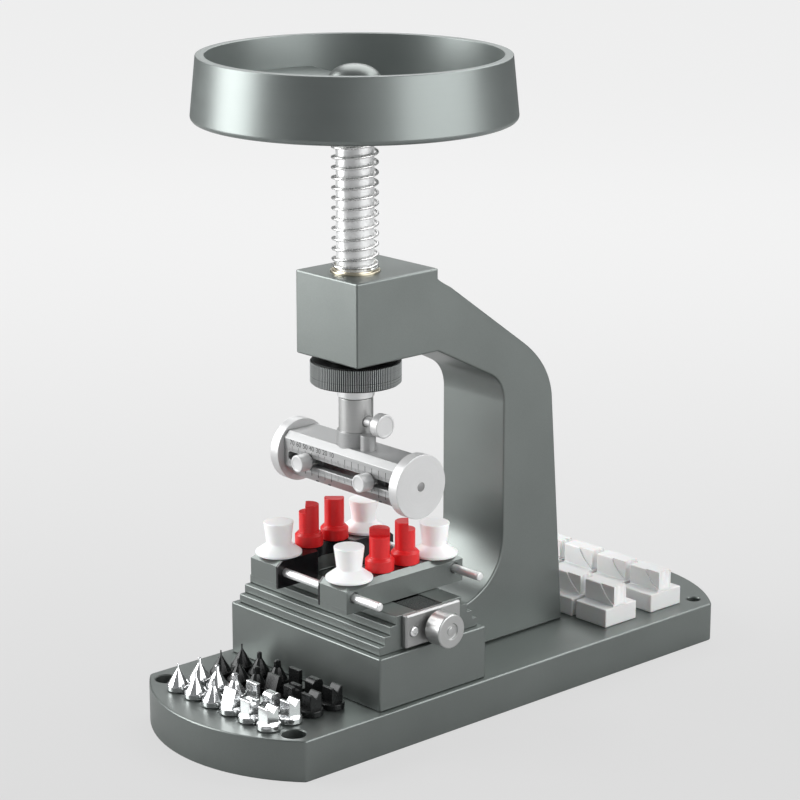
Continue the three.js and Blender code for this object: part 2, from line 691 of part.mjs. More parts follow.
basePlate();
cFrame();
guideBush();
knurledRing();
returnSpring();
spindle();
handwheel();
nose();
holderBeam();
holderCaps();
carriages();
viseBody();
viseEnd();
viseScrew();
jaws();
holdingCups();
steppedPins();
caseBlocks();
pressBits();

export default press;
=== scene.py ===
# Looks of the watch case press: meshes with real edges and procedural finishes round the CAD frame.
# Blender works in metres; the dimensions below are millimetres in the frame of the part.
import math

import bmesh
import bpy
from mathutils import Matrix, Vector


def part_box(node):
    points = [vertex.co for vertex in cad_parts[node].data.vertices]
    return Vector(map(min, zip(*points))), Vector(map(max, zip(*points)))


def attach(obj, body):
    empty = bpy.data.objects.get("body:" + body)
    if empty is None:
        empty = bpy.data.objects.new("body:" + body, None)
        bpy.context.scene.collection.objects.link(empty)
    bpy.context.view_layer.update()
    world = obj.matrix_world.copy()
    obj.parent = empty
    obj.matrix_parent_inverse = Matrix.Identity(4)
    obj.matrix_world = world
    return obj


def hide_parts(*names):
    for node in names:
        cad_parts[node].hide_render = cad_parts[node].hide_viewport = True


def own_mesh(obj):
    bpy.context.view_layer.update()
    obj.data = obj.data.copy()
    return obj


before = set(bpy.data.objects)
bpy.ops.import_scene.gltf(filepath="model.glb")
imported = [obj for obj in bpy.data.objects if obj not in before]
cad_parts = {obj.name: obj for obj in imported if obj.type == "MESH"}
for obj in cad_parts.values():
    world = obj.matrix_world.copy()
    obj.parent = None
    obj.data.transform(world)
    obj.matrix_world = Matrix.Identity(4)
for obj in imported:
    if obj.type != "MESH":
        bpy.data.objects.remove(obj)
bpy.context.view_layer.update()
MM = 0.001
ALONG_X = (0, math.pi / 2, 0)
ALONG_MINUS_X = (0, -math.pi / 2, 0)
ALONG_FRONT = (math.pi / 2, 0, 0)
LAID_X = (math.pi / 2, "Y")
LAID_FRONT = (math.pi / 2, "X")


def span(node):
    """Lowest and highest corners of a CAD node, in millimetres: x0, y0, z0, x1, y1, z1."""
    low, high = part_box(node)
    return [v / MM for v in (*low, *high)]


AXIS_Y = (span("spindle")[1] + span("spindle")[4]) / 2
BASE_TOP = span("base_plate")[5]
SPINDLE = (0, AXIS_Y, 0)
RAM_BORE = 9.75

# Heights, and distances from the spindle's axis, that several pieces share.
HOLDER_Z, GUIDE_Y = 125.8, -1.6
SCREW_Z, PLATE_SCREW_Y = 57.3, 13.3
ROD_Z, ROD_Y = 73.9, 33.4
SEAT_X, CUP_Y, PIN_Y = 26.7, 28.5, 8.5


# Camera, light and floor -------------------------------------------------------------------------
CAMERA_AT = Vector((0.9717, -0.9172, 0.5148))
CAMERA_LOOK = Vector((-0.7119, 0.6508, -0.2639))
TARGET = Vector((0, -0.02, 0.16))


def add_camera():
    data = bpy.data.cameras.new("camera")
    data.sensor_width = 36
    data.lens = 122.4
    data.clip_end = 200
    camera = bpy.data.objects.new("camera", data)
    camera.location = CAMERA_AT
    camera.rotation_euler = CAMERA_LOOK.to_track_quat("-Z", "Y").to_euler()
    bpy.context.scene.collection.objects.link(camera)
    bpy.context.scene.camera = camera


def softbox(name, left, elevation, distance, width, height, power):
    """An area light; left is its angle in degrees left of the camera, seen from the press."""
    data = bpy.data.lights.new(name, "AREA")
    data.shape = "RECTANGLE"
    data.size, data.size_y = width, height
    data.energy = power
    light = bpy.data.objects.new(name, data)
    towards_camera = math.atan2(-CAMERA_LOOK.y, -CAMERA_LOOK.x)
    angle = towards_camera - math.radians(left)
    rise = math.radians(elevation)
    flat = math.cos(rise)
    way = Vector((math.cos(angle) * flat, math.sin(angle) * flat, math.sin(rise)))
    light.location = TARGET + way * distance
    light.rotation_euler = way.to_track_quat("Z", "Y").to_euler()
    bpy.context.scene.collection.objects.link(light)


def add_studio():
    world = bpy.data.worlds.new("studio")
    bpy.context.scene.world = world
    world.use_nodes = True
    tree = world.node_tree
    tree.nodes.clear()
    out = tree.nodes.new("ShaderNodeOutputWorld")
    paths = tree.nodes.new("ShaderNodeLightPath")
    seen = tree.nodes.new("ShaderNodeBackground")
    seen.inputs["Color"].default_value = (0.8, 0.81, 0.82, 1)
    room = tree.nodes.new("ShaderNodeBackground")
    room.inputs["Color"].default_value = (0.2, 0.205, 0.21, 1)
    mix = tree.nodes.new("ShaderNodeMixShader")
    tree.links.new(paths.outputs["Is Camera Ray"], mix.inputs[0])
    tree.links.new(room.outputs[0], mix.inputs[1])
    tree.links.new(seen.outputs[0], mix.inputs[2])
    tree.links.new(mix.outputs[0], out.inputs["Surface"])
    softbox("key", 90, 18, 1.5, 0.95, 1.3, 27)
    softbox("side", -62, 20, 1.6, 1.9, 1.3, 26)
    softbox("fill", -20, 8, 2.6, 1.8, 1.2, 3.2)
    softbox("above", -165, 48, 1.3, 1.3, 1.0, 12)
    softbox("edges_left", 117, 41, 1.5, 0.55, 0.55, 4.5)
    softbox("edges_right", -110, 45, 1.5, 0.55, 0.55, 4.5)


def map_range(tree, source, source_range, low, high=1.0, interpolation="LINEAR"):
    """Carries source from source_range to the range from low to high."""
    node = tree.nodes.new("ShaderNodeMapRange")
    node.interpolation_type = interpolation
    node.inputs["From Min"].default_value = source_range[0]
    node.inputs["From Max"].default_value = source_range[1]
    node.inputs["To Min"].default_value = low
    node.inputs["To Max"].default_value = high
    tree.links.new(source, node.inputs["Value"])
    return node.outputs[0]


def diffuse(tree, grey):
    node = tree.nodes.new("ShaderNodeBsdfDiffuse")
    node.inputs["Color"].default_value = (grey, grey, grey, 1)
    return node


def add_floor():
    """A plain floor: matte to the press and its reflections, pale and fading away to the camera."""
    half = 60
    corners = [(-half, -half, 0), (half, -half, 0), (half, half, 0), (-half, half, 0)]
    mesh = bpy.data.meshes.new("floor")
    mesh.from_pydata(corners, [], [(0, 1, 2, 3)])
    floor = bpy.data.objects.new("floor", mesh)
    bpy.context.scene.collection.objects.link(floor)
    material = bpy.data.materials.new("floor")
    material.use_nodes = True
    tree = material.node_tree
    tree.nodes.clear()
    out = tree.nodes.new("ShaderNodeOutputMaterial")
    matte = diffuse(tree, 0.42)
    faint = diffuse(tree, 0.06)
    place = tree.nodes.new("ShaderNodeTexCoord").outputs["Object"]
    away = tree.nodes.new("ShaderNodeVectorMath")
    away.operation = "DOT_PRODUCT"
    away.inputs[1].default_value = (CAMERA_LOOK.x, CAMERA_LOOK.y, 0)
    tree.links.new(place, away.inputs[0])
    near_and_far = (-0.5, 1.4)
    fade = map_range(tree, away.outputs["Value"], near_and_far, 0.62, 0.84, "SMOOTHSTEP")
    glow = tree.nodes.new("ShaderNodeEmission")
    tree.links.new(fade, glow.inputs["Strength"])
    pale = tree.nodes.new("ShaderNodeAddShader")
    tree.links.new(faint.outputs[0], pale.inputs[0])
    tree.links.new(glow.outputs[0], pale.inputs[1])
    seen = tree.nodes.new("ShaderNodeLightPath").outputs["Is Camera Ray"]
    mix = tree.nodes.new("ShaderNodeMixShader")
    tree.links.new(seen, mix.inputs[0])
    tree.links.new(matte.outputs[0], mix.inputs[1])
    tree.links.new(pale.outputs[0], mix.inputs[2])
    tree.links.new(mix.outputs[0], out.inputs["Surface"])
    mesh.materials.append(material)


# Finishes ----------------------------------------------------------------------------------------
def noise(tree, place, scale, detail):
    node = tree.nodes.new("ShaderNodeTexNoise")
    node.inputs["Scale"].default_value = scale
    node.inputs["Detail"].default_value = detail
    tree.links.new(place, node.inputs["Vector"])
    return node.outputs["Fac"]


def spread(tree, source, share, middle=1.0):
    """A noise carried to a range that lies the share to both sides of the middle."""
    return map_range(tree, source, (0.25, 0.75), middle * (1 - share), middle * (1 + share))


def product(tree, a, b):
    node = tree.nodes.new("ShaderNodeMath")
    node.operation = "MULTIPLY"
    tree.links.new(a, node.inputs[0])
    tree.links.new(b, node.inputs[1])
    return node.outputs[0]


def turned_place(tree, place):
    """The distance from the piece's own axis, and a place made of that distance and the height."""
    split = tree.nodes.new("ShaderNodeSeparateXYZ")
    tree.links.new(place, split.inputs[0])
    flat = tree.nodes.new("ShaderNodeCombineXYZ")
    tree.links.new(split.outputs["X"], flat.inputs["X"])
    tree.links.new(split.outputs["Y"], flat.inputs["Y"])
    length = tree.nodes.new("ShaderNodeVectorMath")
    length.operation = "LENGTH"
    tree.links.new(flat.outputs[0], length.inputs[0])
    radius = length.outputs["Value"]
    rings = tree.nodes.new("ShaderNodeCombineXYZ")
    tree.links.new(radius, rings.inputs["X"])
    tree.links.new(split.outputs["Z"], rings.inputs["Z"])
    return radius, rings.outputs[0]


def stretched_place(tree, place, lay):
    """The place with one direction drawn out, so that the grain is brushed along it."""
    stretch = tree.nodes.new("ShaderNodeMapping")
    scales = {"x": (0.02, 1, 1), "y": (1, 0.02, 1)}
    stretch.inputs["Scale"].default_value = scales.get(lay, (1, 1, 1))
    tree.links.new(place, stretch.inputs["Vector"])
    return stretch.outputs[0]


def finish(
    name,
    color,
    roughness,
    metallic,
    grain,
    smudge=0.05,
    bump=0.0,
    lay="plain",
    constants=(),
    groove=(),
):
    """A procedural finish. grain is (scale per metre, share of colour, share of roughness); lay
    says how the grain runs: plain, turned (rings round the piece's own axis), or brushed along x
    or y. groove is the pair of distances from the axis between which a turned finish fades from
    painted shade at the bottom of a knurl's grooves to its crests."""
    material = bpy.data.materials.new(name)
    material.use_nodes = True
    tree = material.node_tree
    bsdf = tree.nodes["Principled BSDF"]
    bsdf.inputs["Metallic"].default_value = metallic
    for socket, value in constants:
        bsdf.inputs[socket].default_value = value
    place = tree.nodes.new("ShaderNodeTexCoord").outputs["Object"]
    if lay == "turned":
        radius, grain_place = turned_place(tree, place)
    else:
        grain_place = stretched_place(tree, place, lay)
    scale, tone, gloss = grain
    fine = noise(tree, grain_place, scale, 3)
    broad = noise(tree, place, 28, 4)
    shade = product(tree, spread(tree, fine, tone), spread(tree, broad, smudge))
    # painted shade: the colour falls to 5 % at the bottom of a knurl's grooves, where shade falls,
    # and rises to full at the crests
    if groove:
        groove_shade_radii = (groove[0] * MM, groove[1] * MM)
        shade = product(tree, shade, map_range(tree, radius, groove_shade_radii, 0.05))
    tint = tree.nodes.new("ShaderNodeVectorMath")
    tint.operation = "SCALE"
    tint.inputs[0].default_value = color
    tree.links.new(shade, tint.inputs["Scale"])
    tree.links.new(tint.outputs["Vector"], bsdf.inputs["Base Color"])
    polish = product(tree, spread(tree, fine, gloss, roughness), spread(tree, broad, smudge))
    tree.links.new(polish, bsdf.inputs["Roughness"])
    if bump:
        relief = tree.nodes.new("ShaderNodeBump")
        relief.inputs["Strength"].default_value = 0.5
        relief.inputs["Distance"].default_value = bump * MM
        tree.links.new(fine, relief.inputs["Height"])
        tree.links.new(relief.outputs[0], bsdf.inputs["Normal"])
    return material


PAINT = finish("satin_paint", (0.182, 0.2, 0.192), 0.36, 0.75, (2600, 0.07, 0.12), bump=0.02)
PAINT_TURNED = finish(
    "satin_paint_turned", (0.212, 0.234, 0.227), 0.38, 0.75,
    (900, 0.012, 0.04), bump=0.001, lay="turned",
)
POLISHED = finish(
    "polished_steel", (0.84, 0.845, 0.845), 0.3, 0.55,
    (2500, 0.01, 0.08), bump=0.0, lay="turned",
)
WIRE = finish("spring_wire", (0.8, 0.8, 0.79), 0.28, 1, (600, 0.05, 0.2), bump=0.004)
SATIN = finish(
    "satin_steel", (0.5, 0.505, 0.5), 0.34, 0.85,
    (1800, 0.02, 0.1), bump=0.002, lay="turned",
)
PLATE = finish("satin_plate", (0.4, 0.403, 0.4), 0.4, 0.8, (2000, 0.04, 0.15), bump=0.003)
PIN = finish("dull_steel", (0.3, 0.3, 0.3), 0.4, 0.8, (1500, 0.05, 0.1))
SATIN_BAR = finish(
    "satin_bar", (0.36, 0.364, 0.364), 0.42, 0.5,
    (2200, 0.06, 0.2), bump=0.008, lay="x",
)
BRASS = finish(
    "turned_brass", (0.7, 0.64, 0.5), 0.3, 1,
    (1500, 0.08, 0.2), bump=0.012, lay="turned",
)
# Dark steel for the knurled ring, with painted shade in the bottoms of its knurl's grooves.
DARK = finish(
    "dark_steel", (0.4, 0.42, 0.415), 0.3, 0.7,
    (1500, 0.06, 0.2), bump=0.004, lay="turned", groove=(22.25, 22.68),
)
FACED = finish(
    "faced_steel", (0.6, 0.602, 0.602), 0.42, 0.3,
    (1300, 0.02, 0.1), bump=0.002, lay="turned",
)
BLACK = finish("black_oxide", (0.014, 0.015, 0.015), 0.3, 0.5, (1400, 0.15, 0.2), bump=0.01)
CHROME = finish("bright_chrome", (0.74, 0.75, 0.755), 0.14, 0.92, (700, 0.03, 0.25), bump=0.003)
NYLON_BLACK = finish("black_nylon", (0.008, 0.008, 0.009), 0.22, 0, (900, 0.2, 0.2), bump=0.01)
WHITE_LOOK = (("Subsurface Weight", 0.15), ("Subsurface Scale", 0.004), ("Coat Weight", 0.1))
NYLON_WHITE = finish(
    "white_nylon", (0.9, 0.9, 0.9), 0.3, 0,
    (500, 0.008, 0.1), smudge=0.01, constants=WHITE_LOOK,
)
# The cups' white nylon with its colour lowered: painted shade on the case blocks' faces.
NYLON_WHITE_SHADED = finish(
    "white_nylon_painted_shade", (0.66, 0.665, 0.66), 0.34, 0,
    (500, 0.008, 0.1), smudge=0.01, constants=WHITE_LOOK,
)
NYLON_RED = finish("red_nylon", (0.64, 0.012, 0.014), 0.36, 0, (900, 0.05, 0.15), bump=0.01)
INK = finish("engraved_black", (0.01, 0.01, 0.01), 0.5, 0, (900, 0.1, 0.1))


# Mesh tools --------------------------------------------------------------------------------------
def fillet(points, radius=0.0, steps=4, closed=True):
    """Rounds the corners of a polyline; a point may carry its own radius as a third number."""
    rounded = []
    for i, point in enumerate(points):
        here = Vector(point[:2])
        r = point[2] if len(point) > 2 else radius
        if r <= 0 or (not closed and i in (0, len(points) - 1)):
            rounded.append(tuple(here))
            continue
        before = Vector(points[i - 1][:2]) - here
        after = Vector(points[(i + 1) % len(points)][:2]) - here
        half = before.angle(after) / 2
        if half > 1.55:
            rounded.append(tuple(here))
            continue
        reach = min(r / math.tan(half), 0.49 * before.length, 0.49 * after.length)
        r = reach * math.tan(half)
        before.normalize()
        after.normalize()
        centre = here + (before + after).normalized() * (r / math.sin(half))
        start = here + before * reach - centre
        end = here + after * reach - centre
        for k in range(steps + 1):
            blend = start * (1 - k / steps) + end * (k / steps)
            rounded.append(tuple(centre + blend.normalized() * r))
    return rounded


def rectangle(x0, x1, y0, y1, radius=0.0, steps=4):
    return fillet([(x0, y0), (x1, y0), (x1, y1), (x0, y1)], radius, steps)


def inset(outline, distance):
    """The outline with each point moved inwards along its mitre."""
    shifted = []
    for i, point in enumerate(outline):
        here = Vector(point)
        a = (here - Vector(outline[i - 1])).normalized()
        b = (Vector(outline[(i + 1) % len(outline)]) - here).normalized()
        normal_a, normal_b = Vector((-a.y, a.x)), Vector((-b.y, b.x))
        mitre = (normal_a + normal_b) / max(0.3, 1 + normal_a.dot(normal_b))
        shifted.append(tuple(here + mitre * distance))
    return shifted


def rounded_levels(low, high, radius, steps=3):
    """Levels of a stack whose two end edges are rounded."""
    turns = [k * math.pi / 2 / steps for k in range(steps + 1)]
    quarter = [(radius * (1 - math.sin(a)), radius * (1 - math.cos(a))) for a in turns]
    return [(d, low + h) for d, h in quarter] + [(d, high - h) for d, h in reversed(quarter)]


def stack(outline, levels):
    """A closed solid: at each level, a distance and a height, the outline moved inwards."""
    bm = bmesh.new()
    rings = []
    for distance, height in levels:
        around = inset(outline, distance)
        rings.append([bm.verts.new((u * MM, v * MM, height * MM)) for u, v in around])
    bm.faces.new(list(reversed(rings[0])))
    bm.faces.new(rings[-1])
    for low, high in zip(rings, rings[1:]):
        for k in range(len(low)):
            n = (k + 1) % len(low)
            bm.faces.new((low[k], low[n], high[n], high[k]))
    return bm


def swept_x(outline, levels):
    """The same solid with the outline drawn in Y and Z and the levels along X."""
    bm = stack(outline, levels)
    bm.transform(Matrix(((0, 0, 1, 0), (1, 0, 0, 0), (0, 1, 0, 0), (0, 0, 0, 1))))
    return bm


def swept_y(outline, levels):
    """The outline drawn in X and Z, the levels along -Y."""
    bm = stack(outline, levels)
    bm.transform(Matrix(((1, 0, 0, 0), (0, 0, -1, 0), (0, 1, 0, 0), (0, 0, 0, 1))))
    return bm


def block(x0, x1, y0, y1, z0, z1, radius=0.4):
    return stack(rectangle(x0, x1, y0, y1, radius, 3), rounded_levels(z0, z1, radius))


def lathe(profile, segments=96, ring=False, radius_at=None):
    """A turned solid round local Z. ring closes the profile on itself, for a piece with a bore.
    radius_at(angle, radius, height) may change the radius."""
    bm = bmesh.new()
    rings = []
    for radius, height in profile:
        if radius < 1e-6:
            rings.append([bm.verts.new((0, 0, height * MM))])
            continue
        row = []
        for k in range(segments):
            angle = 2 * math.pi * k / segments
            r = radius_at(angle, radius, height) if radius_at else radius
            x, y = r * MM * math.cos(angle), r * MM * math.sin(angle)
            row.append(bm.verts.new((x, y, height * MM)))
        rings.append(row)
    following = rings[1:] + (rings[:1] if ring else [])
    for low, high in zip(rings, following):
        for k in range(segments):
            n = k + 1
            corners = [low[k % len(low)], low[n % len(low)]]
            corners += [high[n % len(high)], high[k % len(high)]]
            corners = list(dict.fromkeys(corners))
            if len(corners) > 2:
                bm.faces.new(corners)
    return bm


def turned(profile, steps=3, segments=96):
    """A solid turned from a filleted profile that starts and ends on the axis."""
    return lathe(fillet(profile, steps=steps, closed=False), segments)


def turned_ring(profile, steps=3, segments=96):
    """A ring turned from a closed filleted profile."""
    return lathe(fillet(profile, steps=steps), segments, ring=True)


def rod(radius, z0, z1, edge=0.3, segments=48):
    profile = [(0, z0), (radius, z0), (radius, z1), (0, z1)]
    return lathe(fillet(profile, edge, 3, closed=False), segments)


def drill(radius, z0, z1, mouth=0.0, segments=48):
    """A cutter whose upper end, at z1, widens by mouth to chamfer the hole."""
    if not mouth:
        return lathe([(0, z0), (radius, z0), (radius, z1), (0, z1)], segments)
    past = 0.5
    wide = radius + mouth + past
    profile = [(0, z0), (radius, z0), (radius, z1 - mouth), (wide, z1 + past), (0, z1 + past)]
    return lathe(profile, segments)


def hull(points):
    """The smallest convex solid round the points."""
    bm = bmesh.new()
    verts = [bm.verts.new(Vector(p) * MM) for p in points]
    bmesh.ops.convex_hull(bm, input=verts)
    bmesh.ops.dissolve_limit(bm, angle_limit=0.02, verts=bm.verts, edges=bm.edges)
    return bm


def merged(*parts):
    whole = bmesh.new()
    for part in parts:
        mesh = bpy.data.meshes.new("part")
        part.to_mesh(mesh)
        whole.from_mesh(mesh)
        part.free()
        bpy.data.meshes.remove(mesh)
    return whole


def moved(bm, x=0.0, y=0.0, z=0.0, turn=None):
    """The same mesh, turned by turn, an angle and an axis, and then moved."""
    place = Matrix.Translation(Vector((x, y, z)) * MM)
    if turn:
        place = place @ Matrix.Rotation(turn[0], 4, turn[1])
    bm.transform(place)
    return bm


def as_object(bm, name):
    bmesh.ops.recalc_face_normals(bm, faces=bm.faces)
    if bm.calc_volume(signed=True) < 0:
        bmesh.ops.reverse_faces(bm, faces=bm.faces)
    mesh = bpy.data.meshes.new(name)
    bm.to_mesh(mesh)
    bm.free()
    made = bpy.data.objects.new(name, mesh)
    bpy.context.scene.collection.objects.link(made)
    return made


def taken(made):
    """The mesh of a helper object, which is removed."""
    shape = bmesh.new()
    shape.from_mesh(made.data)
    bpy.data.objects.remove(made)
    return shape


def apply_modifiers(made):
    bpy.context.view_layer.update()
    evaluated = made.evaluated_get(bpy.context.evaluated_depsgraph_get())
    mesh = bpy.data.meshes.new_from_object(evaluated)
    made.modifiers.clear()
    made.data = mesh


def carve(made, *tools, operation="DIFFERENCE"):
    """Cuts the tools out of the object, or joins them to it with operation="UNION"."""
    for tool in tools:
        cutter = as_object(tool, "cutter")
        modifier = made.modifiers.new("carve", "BOOLEAN")
        modifier.operation = operation
        modifier.solver = "MANIFOLD"
        modifier.object = cutter
        apply_modifiers(made)
        bpy.data.objects.remove(cutter)


def soften(made, width, segments=2, angle=30):
    """Rounds every edge sharper than the angle, and keeps flat faces flat in shading."""
    made.data.shade_smooth()
    bevel = made.modifiers.new("edges", "BEVEL")
    bevel.width = width * MM
    bevel.segments = segments
    bevel.limit_method = "ANGLE"
    bevel.angle_limit = math.radians(angle)
    bevel.miter_outer = "MITER_ARC"
    made.modifiers.new("normals", "WEIGHTED_NORMAL").keep_sharp = True
    apply_modifiers(made)


def piece(
    name,
    shape,
    material,
    body,
    node,
    at=(0, 0, 0),
    turn=(0, 0, 0),
    edges=None,
    cuts=(),
    sharp=38,
):
    """A finished piece: shape and cuts are in its own frame, in which at and turn then place it."""
    made = as_object(shape, name)
    carve(made, *cuts)
    if edges:
        soften(made, edges)
    else:
        made.data.shade_smooth()
        made.data.set_sharp_from_angle(angle=math.radians(sharp))
        made.modifiers.new("normals", "WEIGHTED_NORMAL").keep_sharp = True
        apply_modifiers(made)
    made.data.materials.clear()
    made.data.materials.append(material)
    made.location = Vector(at) * MM
    made.rotation_euler = turn
    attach(made, body)
    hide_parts(node)
    return made


# Frame -------------------------------------------------------------------------------------------
def base_plate():
    _, _, z0, x1, y1, z1 = span("base_plate")
    sagitta = 24
    straight = y1 - sagitta
    radius = (x1 * x1 + sagitta * sagitta) / (2 * sagitta)
    sweep = math.asin(x1 / radius)
    steps = 24
    front = []
    for k in range(steps + 1):
        a = sweep * (2 * k / steps - 1)
        front.append((radius * math.sin(a), -straight - sagitta + radius * (1 - math.cos(a))))
    corner = 3
    front[0] = (*front[0], corner)
    front[-1] = (*front[-1], corner)
    outline = fillet(front + [(-u[0], -u[1], *u[2:]) for u in front], steps=6)
    shape = stack(outline, rounded_levels(z0, z1, 0.8, 4))
    foot_x, foot_y = 49, 142
    front_hole, rear_hole = 5.9, 3.6
    holes = []
    for x in (-foot_x, foot_x):
        for y, hole in ((-foot_y, front_hole), (foot_y, rear_hole)):
            holes.append(moved(drill(hole, -1, z1, 0.5), x, y))
    piece("base_plate_cast", shape, PAINT, "root", "base_plate", cuts=holes)


def curve(start, control, end, steps=12):
    """Points along the arc that bends from start to end, towards the control point."""
    a, b, c = Vector(start), Vector(control), Vector(end)
    ts = [k / steps for k in range(steps + 1)]
    return [tuple(a * (1 - t) ** 2 + b * 2 * t * (1 - t) + c * t * t) for t in ts]


def c_frame():
    """The casting's outline runs up the back of the column, over the arm and down the throat."""
    x0, y0, z0, x1, y1, z1 = span("c_frame")
    foot, foot_top = -22.8, 46
    head_rear, head_foot = -24.1, 183.2
    throat = 22.3
    outline = [(foot, z0, 0.6), (y1, z0, 0.6), (57.2, 147)]
    outline += curve((57.2, 147), (54.6, 164.2), (36, 177.6))[1:]
    outline += curve((-15, 214.2), (-23, 218.6), (head_rear, 220), 6)
    outline += [(head_rear, z1, 0.9), (y0, z1, 0.9)]
    outline += [(y0, head_foot, 0.9), (head_rear, head_foot, 1.5)]
    outline += curve((11.5, 165.2), (throat, 160.2), (throat, 148))
    outline += curve((throat, 80), (throat, 53.5), (-4, foot_top), 16)
    outline += [(foot, foot_top, 0.9)]
    shape = swept_x(fillet(outline, steps=3), rounded_levels(x0, x1, 1.0))
    bore = moved(drill(10.9, 150, 240), 0, AXIS_Y)
    piece("c_frame_cast", shape, PAINT, "root", "c_frame", cuts=[bore])


def guide_bush():
    _, _, z0, x1, _, z1 = span("guide_bush")
    neck, lip = 10.6, z1 - 1.3
    rim, groove = z1 - 0.35, z1 - 0.6
    profile = [(RAM_BORE, z0, 0.3), (neck, z0, 0.3), (neck, lip), (x1, lip), (x1, rim, 0.3)]
    profile += [(11.3, rim, 0.1), (11.0, groove, 0.1), (10.5, groove, 0.1)]
    profile += [(10.3, z1, 0.15), (RAM_BORE, z1, 0.25)]
    shape = turned_ring(profile)
    piece("guide_bush_turned", shape, BRASS, "root", "guide_bush", SPINDLE)


def knurled_ring():
    _, _, z0, x1, _, z1 = span("knurled_ring")
    top = 181.4
    collar = 15.5
    ridges, depth, steepness = 130, 0.9, 3.4

    def knurl(angle, radius, _):
        if radius < x1 - 0.5:
            return radius
        phase = (ridges * angle / (2 * math.pi)) % 1
        return radius - depth * max(0, 1 - steepness * abs(phase - 0.5))

    profile = [(RAM_BORE, z0), (x1 - 1.6, z0), (x1 - 0.9, z0 + 0.25), (x1, z0 + 1.0)]
    profile += [(x1, z0 + 1 + (top - z0 - 2) * k / 4) for k in range(1, 5)]
    profile += [(x1 - 0.9, top - 0.25), (x1 - 1.6, top), (collar + 0.4, top)]
    profile += [(collar, top + 0.4), (collar, z1), (RAM_BORE, z1)]
    shape = lathe(profile, ridges * 8, ring=True, radius_at=knurl)
    node = "knurled_ring"
    piece("lock_ring_knurled", shape, DARK, "lock_ring", node, SPINDLE, sharp=30)


# Ram ---------------------------------------------------------------------------------------------
def return_spring():
    """A coil spring whose end turns, the dead ones, lie closer together than the rest."""
    _, _, z0, x1, _, z1 = span("return_spring")
    wire = 0.7
    coil = x1 - wire
    low, high = z0 + wire, z1 - wire
    dead, dead_pitch, pitch = 1.15, 1.42, 5.0
    active = (high - low - 2 * dead * dead_pitch) / pitch
    turns = active + 2 * dead
    steps, sides = round(turns * 40), 12
    bm = bmesh.new()
    rows = []
    for i in range(steps + 1):
        t = turns * i / steps
        if t < dead:
            z = low + dead_pitch * t
        elif t > turns - dead:
            z = high - dead_pitch * (turns - t)
        else:
            z = low + dead_pitch * dead + pitch * (t - dead)
        angle = 2 * math.pi * t
        out = Vector((math.cos(angle), math.sin(angle), 0))
        centre = out * coil + Vector((0, 0, z))
        row = []
        for k in range(sides):
            a = 2 * math.pi * k / sides
            point = centre + out * wire * math.cos(a) + Vector((0, 0, wire * math.sin(a)))
            row.append(bm.verts.new(point * MM))
        rows.append(row)
    for a, b in zip(rows, rows[1:]):
        for k in range(sides):
            n = (k + 1) % sides
            bm.faces.new((a[k], a[n], b[n], b[k]))
    bm.faces.new(rows[0])
    bm.faces.new(list(reversed(rows[-1])))
    node = "return_spring"
    made = piece("spring_coil", bm, WIRE, "root", node, SPINDLE, sharp=60)
    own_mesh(made)


def ram():
    _, _, z0, x1, _, z1 = span("spindle")
    nose_radius, shoulder, hub_seat = 5, 162.5, 296
    profile = [(0, z0), (nose_radius, z0, 0.5), (nose_radius, shoulder), (x1, shoulder, 0.6)]
    profile += [(x1, hub_seat), (x1 - 2, hub_seat), (x1 - 2, z1), (0, z1)]
    piece("ram_spindle", turned(profile), POLISHED, "ram", "spindle", SPINDLE)
    _, _, z0, x1, _, z1 = span("spring_seat")
    bore = 9.55
    shape = turned_ring([(bore, z0), (x1, z0, 0.4), (x1, z1, 0.4), (bore, z1)])
    node = "spring_seat"
    piece("spring_washer", shape, POLISHED, "spring_seat", node, SPINDLE)


def handwheel():
    _, _, z0, x1, _, z1 = span("handwheel")
    rim_foot, spoke_low, spoke_high = 300.3, 305, 316
    profile = [(69.4, rim_foot, 1.2), (x1 - 0.3, rim_foot, 2.4), (76.2, z1, 0.5), (71.8, z1, 0.4)]
    rim = turned_ring(profile, 5, 192)
    root, spread_from, tip = 15, 66, 71.2
    half, half_at_tip = 17, 23
    outline = [(root, -half), (spread_from, -half), (tip, -half_at_tip)]
    outline += [(tip, half_at_tip), (spread_from, half), (root, half)]
    spokes = []
    for angle in (50, 170, 290):
        spoke = stack(fillet(outline, 6, 5), rounded_levels(spoke_low, spoke_high, 1.6, 4))
        spokes.append(moved(spoke, turn=(math.radians(angle), "Z")))
    hub = turned([(0, z0), (19, z0, 1), (19, spoke_high, 1.2), (0, spoke_high)], 4)
    made = as_object(rim, "rim")
    carve(made, hub, *spokes, operation="UNION")
    carve(made, drill(9.5, z0 - 1, 296.15), drill(7.5, 295, 320))
    shape, node = taken(made), "handwheel"
    piece("wheel_cast", shape, PAINT_TURNED, "ram", node, SPINDLE, sharp=32)
    _, _, z0, x1, _, z1 = span("wheel_cap")
    edge = 2.6
    rise = z1 - z0 - edge
    turns = [k * math.pi / 28 for k in range(1, 14)]
    profile = [(0, z0), (x1, z0, 0.3), (x1, z0 + edge)]
    profile += [(x1 * math.cos(a), z0 + edge + rise * math.sin(a)) for a in turns]
    profile.append((0, z1))
    piece("wheel_dome", turned(profile), PAINT, "ram", "wheel_cap", SPINDLE)


